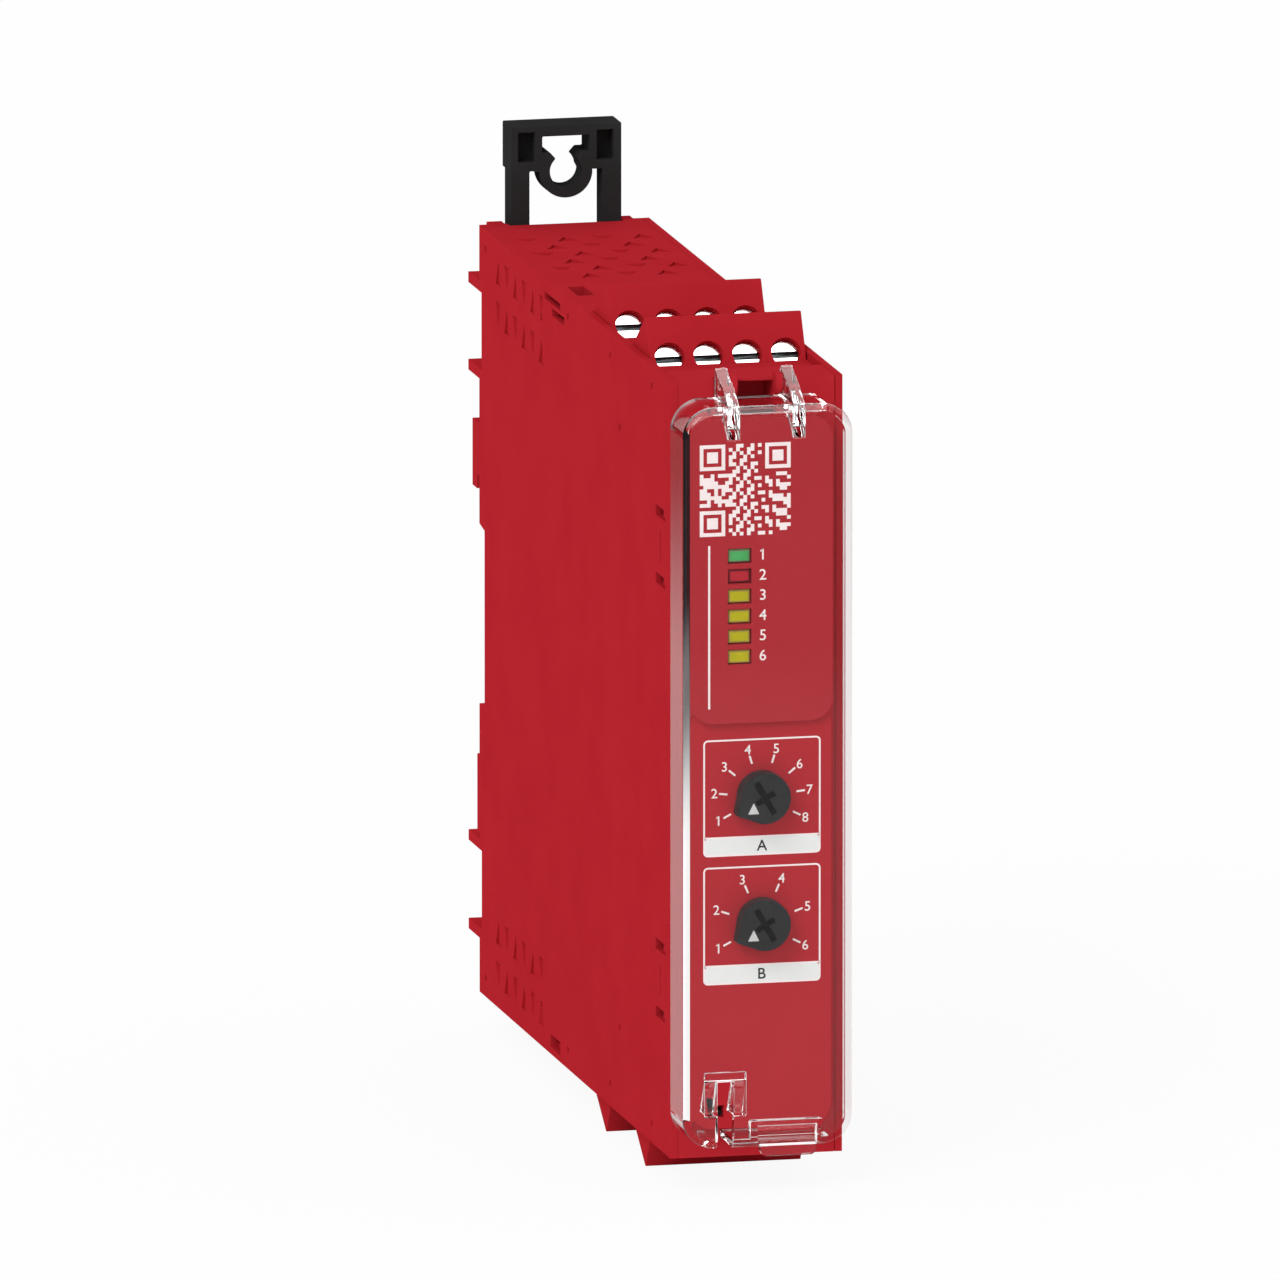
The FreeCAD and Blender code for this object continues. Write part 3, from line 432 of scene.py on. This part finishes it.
softened("housing_shell", "housing", red_polyamide, "red_polyamide", housing_edge)
softened("side_lid", "housing", red_polyamide, "red_polyamide", housing_edge)
softened("front_bezel", "housing", red_front, "red_front", bezel_edge)
softened("label_panel", "housing", red_label, "red_front", panel_edge)
polished_cover("clear_cover", "cover", "clear_polycarbonate", cover_edge)
softened("mounting_slider", "upper_slider", black_nylon, "black_plastic", slider_edge)
softened("rail_latch", "latch", black_nylon, "black_plastic", slider_edge)
knob("start_knob", "start_selector", start_z)
knob("function_knob", "function_selector", function_z)
for level in ("upper", "lower"):
    for row in ("front", "rear"):
        softened("%s_%s_terminal_block" % (level, row), "housing", red_polyamide, "red_polyamide",
                 block_edge)
        recolour(zinc, "%s_%s_clamp_cages" % (level, row))
        terminal_screws("%s_%s_terminal_screws" % (level, row), 1 if level == "upper" else -1)
lens("power_lens", "green_lens", green_lens, green_bevel)
lens("fault_lens", "red_lens", red_lens, red_bevel)
for name in lens_names[2:]:
    lens(name, "yellow_lens", yellow_lens, yellow_bevel)

recolour(black_nylon, "cover_catch")
recolour(spring_wire, "latch_spring")
recolour(led_case, "status_leds")
recolour(solder_mask, "front_board", "main_board", "logic_board")
recolour(black_case, "board_connector", "front_header", "microcontrollers", "start_switch", "function_switch")
recolour(relay_case, "safety_relay_1", "safety_relay_2", "safety_relay_3")
recolour(ferrite, "transformer_core")
recolour(tape, "transformer_coil")
recolour(sleeve, "storage_capacitor", "filter_capacitor")


# ---- print ---------------------------------------------------------------------------------
def bar(bm, x, z, wide, high, face, turn=0.0):
    """A thin printed bar on a surface that faces the front, turned by degrees anticlockwise."""
    place = (Matrix.Translation(Vector((x, face - ink / 2 - lift, z)) * mm)
             @ Matrix.Rotation(radians(-turn), 4, "Y")
             @ Matrix.Diagonal(Vector((wide * mm, ink * mm, high * mm, 1))))
    bmesh.ops.create_cube(bm, size=1.0, matrix=place)


def flat_shape(corners, face, radii):
    """A flat printed shape in a bmesh of its own: (x, z) corners, each rounded by its radius."""
    bm = bmesh.new()
    verts = [bm.verts.new(Vector((x, face - lift, z)) * mm) for x, z in corners]
    bm.faces.new(verts)
    for vert, radius in zip(verts, radii):
        if radius:
            bmesh.ops.bevel(bm, geom=[vert], offset=radius * mm, offset_type="OFFSET", segments=5,
                            profile=0.5, affect="VERTICES", clamp_overlap=False, material=-1)
    return bm


def add_to(sheet, shape):
    """Gives a flat shape the ink's thickness and adds it to the others of its colour."""
    grown = bmesh.ops.extrude_face_region(shape, geom=shape.faces[:])
    moved = [v for v in grown["geom"] if isinstance(v, bmesh.types.BMVert)]
    bmesh.ops.translate(shape, verts=moved, vec=(0, -ink * mm, 0))
    bmesh.ops.recalc_face_normals(shape, faces=shape.faces)
    mesh = bpy.data.meshes.new("stencil")
    shape.to_mesh(mesh)
    shape.free()
    sheet.from_mesh(mesh)
    bpy.data.meshes.remove(mesh)


def box_corners(x0, x1, z0, z1):
    return [(x0, z0), (x1, z0), (x1, z1), (x0, z1)]


def box_line(sheet, x0, x1, z0, z1, face, radius):
    """A printed line round a rectangle with rounded corners."""
    shape = flat_shape(box_corners(x0, x1, z0, z1), face, [radius] * 4)
    middle = shape.faces[:]
    bmesh.ops.inset_region(shape, faces=middle, thickness=line_width * mm, use_boundary=True,
                           use_even_offset=True)
    bmesh.ops.delete(shape, geom=middle, context="FACES_ONLY")
    add_to(sheet, shape)


def printed(name, bm, material, body="housing"):
    return finished(name, bm, [material], body)


def dial_angles(count):
    """Angles of a dial's positions in degrees, anticlockwise from the right."""
    return [first_angle + (last_angle - first_angle) * i / (count - 1) for i in range(count)]


lines = bmesh.new()
strips = bmesh.new()
for top, bottom, centre, count in (start_dial, function_dial):
    box_line(lines, dial_left, dial_right, bottom, top, plinth_face, corner)
    inner = box_corners(dial_left + line_width, dial_right - line_width, bottom + line_width,
                        bottom + strip_height - line_width)
    add_to(strips, flat_shape(inner, plinth_face, [corner - line_width] * 4))
    bar(lines, (dial_left + dial_right) / 2, bottom + strip_height - line_width / 2,
        dial_right - dial_left - line_width, line_width, plinth_face)
    middle = (tick_start + tick_end) / 2
    for angle in dial_angles(count):
        a = radians(angle)
        bar(lines, dial_x + middle * cos(a), centre + middle * sin(a), tick_end - tick_start, tick_width,
            plinth_face, angle)
bar(lines, *panel_line, panel_face)
printed("dial_lines", lines, white_ink)
printed("dial_strips", strips, grey_ink)


def code_mark(column, row):
    """Whether a cell of the square is inked: three corner rings, and a made-up filling that says nothing."""
    last = code_cells - ring_cells
    for left, low in ((0, 0), (0, last), (last, last)):
        ring = max(abs(column - left - ring_middle), abs(row - low - ring_middle))
        if ring < ring_border:
            return ring in (0, 1, 3)
    return (column * column * 3 + row * row * 5 + column * row * 7 + column // 3) % 11 < 6


square = bmesh.new()
for row in range(code_cells):
    start = None
    for column in range(code_cells + 1):
        inked = column < code_cells and code_mark(column, row)
        if inked and start is None:
            start = column
        if not inked and start is not None:
            bar(square, code_left + (start + column) / 2 * code_cell, code_low + (row + 0.5) * code_cell,
                (column - start) * code_cell, code_cell, panel_face)
            start = None
printed("code_square", square, white_ink)


def lettering(name, marks, height, face, material, body="housing"):
    """Printed characters, each centred on its (x, z) place on a surface that faces the front."""
    bm = bmesh.new()
    for text, x, z in marks:
        curve = bpy.data.curves.new("stencil", "FONT")
        curve.body = text
        curve.extrude = ink / 2
        curve.offset = letter_weight
        stencil = bpy.data.objects.new("stencil", curve)
        mesh = bpy.data.meshes.new_from_object(stencil)
        letters = bmesh.new()
        letters.from_mesh(mesh)
        xs = [v.co.x for v in letters.verts]
        ys = [v.co.y for v in letters.verts]
        scale = height / (max(ys) - min(ys))
        middle = Vector(((max(xs) + min(xs)) / 2, (max(ys) + min(ys)) / 2, 0))
        for v in letters.verts:
            flat = (v.co - middle) * scale
            depth = ink / 2 if v.co.z > 0 else -ink / 2
            v.co = Vector((x + flat.x, face - lift - ink / 2 - depth, z + flat.y)) * mm
        letters.to_mesh(mesh)
        letters.free()
        bm.from_mesh(mesh)
        bpy.data.objects.remove(stencil)
        if text == "1":
            bar(bm, x - flag_left * height, z + flag_up * height, flag_length * height,
                flag_width * height, face, flag_turn)
    bmesh.ops.remove_doubles(bm, verts=bm.verts, dist=0.0005 * mm)
    bmesh.ops.recalc_face_normals(bm, faces=bm.faces)
    return printed(name, bm, material, body)


numbers = []
letters_on_strips = []
for (top, bottom, centre, count), letter in ((start_dial, "A"), (function_dial, "B")):
    for i, angle in enumerate(dial_angles(count)):
        a = radians(angle)
        ring = number_ring + number_spread * abs(sin(a))
        numbers.append((str(i + 1), dial_x + ring * cos(a), centre + ring * sin(a)))
    letters_on_strips.append((letter, dial_x, bottom + strip_height / 2))
lettering("dial_numbers", numbers, number_height, plinth_face, white_ink)
lettering("strip_letters", letters_on_strips, strip_letter_height, plinth_face - ink, black_ink)

lens_numbers = []
for i, name in enumerate(lens_names):
    low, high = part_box(name)
    lens_numbers.append((str(i + 1), 0.0, (low.z + high.z) / 2 / mm + lens_number_lift))
lettering("lens_numbers", lens_numbers, lens_number_height, panel_face, white_ink)

for name, body, level in (("start_mark", "start_selector", start_z),
                          ("function_mark", "function_selector", function_z)):
    mark = bmesh.new()
    add_to(mark, flat_shape([(x, level + z) for x, z in mark_corners], knob_top, [mark_corner] * 3))
    printed(name, mark, mark_ink, body)


# ---- light and camera ----------------------------------------------------------------------
def fade(tree, value, low, high):
    """0 at low and under, 1 at high and over, smooth between."""
    return put(tree, "ShaderNodeMapRange", {"Value": value, "From Min": low, "From Max": high},
               interpolation_type="SMOOTHSTEP").outputs["Result"]


def blend(tree, share, first, second):
    """A shader between two others: the second one's share is given."""
    return put(tree, "ShaderNodeMixShader", {0: share, 1: first, 2: second}).outputs["Shader"]


def shine(tree, kind, colour, strength):
    """A light of one colour: a world's background or a surface that glows."""
    return put(tree, kind, {"Color": linear(colour), "Strength": strength}).outputs[0]


def studio_world():
    """White surroundings, dim enough to light the colours as written. What the clear cover and the
    metal mirror is a dark room with a wide soft box overhead; what the cover bends into view is
    white behind the relay and grey in front of it."""
    world = bpy.data.worlds.new("studio")
    world.use_nodes = True
    tree = world.node_tree
    tree.nodes.clear()
    path = put(tree, "ShaderNodeLightPath").outputs
    way = put(tree, "ShaderNodeTexCoord")
    height = put(tree, "ShaderNodeSeparateXYZ", {0: way.outputs["Generated"]}).outputs["Z"]
    forward = put(tree, "ShaderNodeVectorMath", {0: way.outputs["Generated"], 1: toward_viewer},
                  operation="DOT_PRODUCT").outputs["Value"]
    light = shine(tree, "ShaderNodeBackground", "#FFFFFF", world_light)
    white = shine(tree, "ShaderNodeBackground", "#FFFFFF", 1.0)
    soft_box = shine(tree, "ShaderNodeBackground", "#FFFFFF", soft_box_light)
    unlit = shine(tree, "ShaderNodeBackground", unlit_room, 1.0)
    dim = shine(tree, "ShaderNodeBackground", "#9A9A9C", 1.0)
    overhead = fade(tree, height, *soft_box_edge)
    mirrored = blend(tree, overhead, unlit, soft_box)
    ahead = blend(tree, overhead, dim, soft_box)
    refracted = blend(tree, fade(tree, forward, *front_edge), white, ahead)
    mix = blend(tree, path["Is Camera Ray"], light, white)
    mix = blend(tree, path["Is Glossy Ray"], mix, mirrored)
    mix = blend(tree, path["Is Transmission Ray"], mix, refracted)
    put(tree, "ShaderNodeOutputWorld", {"Surface": mix})
    bpy.context.scene.world = world


def studio_floor():
    """A pale floor that is white where it is seen and keeps a soft shadow, clear from below. In
    mirrored rays it is bright just behind the relay, grey around it, pale in front and dark farther
    off."""
    material, tree = blank("pale_studio_floor")
    path = put(tree, "ShaderNodeLightPath").outputs
    place = put(tree, "ShaderNodeTexCoord").outputs["Object"]
    distance = put(tree, "ShaderNodeVectorMath", {0: place}, operation="LENGTH").outputs["Value"]
    back = put(tree, "ShaderNodeSeparateXYZ", {0: place}).outputs["Y"]
    paint = put(tree, "ShaderNodeBsdfDiffuse", {"Color": mottled(tree, "#F4F4F4", "#F8F8F8", 400.0)})
    white = shine(tree, "ShaderNodeEmission", "#FFFFFF", 1.0)
    grey = shine(tree, "ShaderNodeEmission", "#707070", 1.0)
    unlit = shine(tree, "ShaderNodeEmission", unlit_room, 1.0)
    lit = put(tree, "ShaderNodeMath", {0: path["Is Camera Ray"], 1: floor_glow}, operation="MULTIPLY")
    pale = shine(tree, "ShaderNodeEmission", "#949494", 1.0)
    mirrored = blend(tree, fade(tree, distance, *floor_near), white, grey)
    mirrored = blend(tree, fade(tree, back, *floor_front), pale, mirrored)
    mirrored = blend(tree, fade(tree, distance, *floor_far), mirrored, unlit)
    air = put(tree, "ShaderNodeBsdfTransparent").outputs["BSDF"]
    mix = blend(tree, lit.outputs["Value"], paint.outputs["BSDF"], white)
    mix = blend(tree, path["Is Glossy Ray"], mix, mirrored)
    mix = blend(tree, path["Is Transmission Ray"], mix, air)
    mix = blend(tree, put(tree, "ShaderNodeNewGeometry").outputs["Backfacing"], mix, air)
    close(tree, mix)
    bm = bmesh.new()
    level = cad_box[0].z - floor_gap * mm
    bmesh.ops.create_grid(bm, x_segments=8, y_segments=8, size=floor_half,
                          matrix=Matrix.Translation((0, 0, level)))
    mesh = bpy.data.meshes.new("studio_floor")
    bm.to_mesh(mesh)
    bm.free()
    mesh.materials.append(material)
    floor = bpy.data.objects.new("studio_floor", mesh)
    bpy.context.scene.collection.objects.link(floor)


def soft_lamp(name, direction, energy, spread):
    """A distant lamp that shines along a direction, with soft edges to its shadows."""
    lamp = bpy.data.lights.new(name, "SUN")
    lamp.energy = energy
    lamp.angle = radians(spread)
    holder = bpy.data.objects.new(name, lamp)
    holder.rotation_euler = Vector(direction).to_track_quat("-Z", "Y").to_euler()
    bpy.context.scene.collection.objects.link(holder)


def studio_camera():
    """A long lens from the front left and a little above, so that lines stay parallel."""
    azimuth = radians(camera_azimuth)
    elevation = radians(camera_elevation)
    view = Vector((-sin(azimuth) * cos(elevation), cos(azimuth) * cos(elevation), -sin(elevation)))
    right = Vector((cos(azimuth), sin(azimuth), 0))
    up = right.cross(view)
    aim = Vector((0, camera_depth, 0)) - right * camera_left * mm + up * camera_up * mm
    camera = bpy.data.cameras.new("camera")
    camera.sensor_width = sensor
    camera.lens = focal_length
    distance = picture_width * mm * camera.lens / camera.sensor_width
    camera.clip_start = 0.1
    camera.clip_end = 20.0
    holder = bpy.data.objects.new("camera", camera)
    holder.location = aim - view * distance
    holder.rotation_euler = view.to_track_quat("-Z", "Y").to_euler()
    bpy.context.scene.collection.objects.link(holder)
    bpy.context.scene.camera = holder


studio_world()
studio_floor()
soft_lamp("front_left_lamp", lamp_direction, lamp_light, lamp_spread)
studio_camera()
bpy.context.scene.view_settings.view_transform = "Standard"
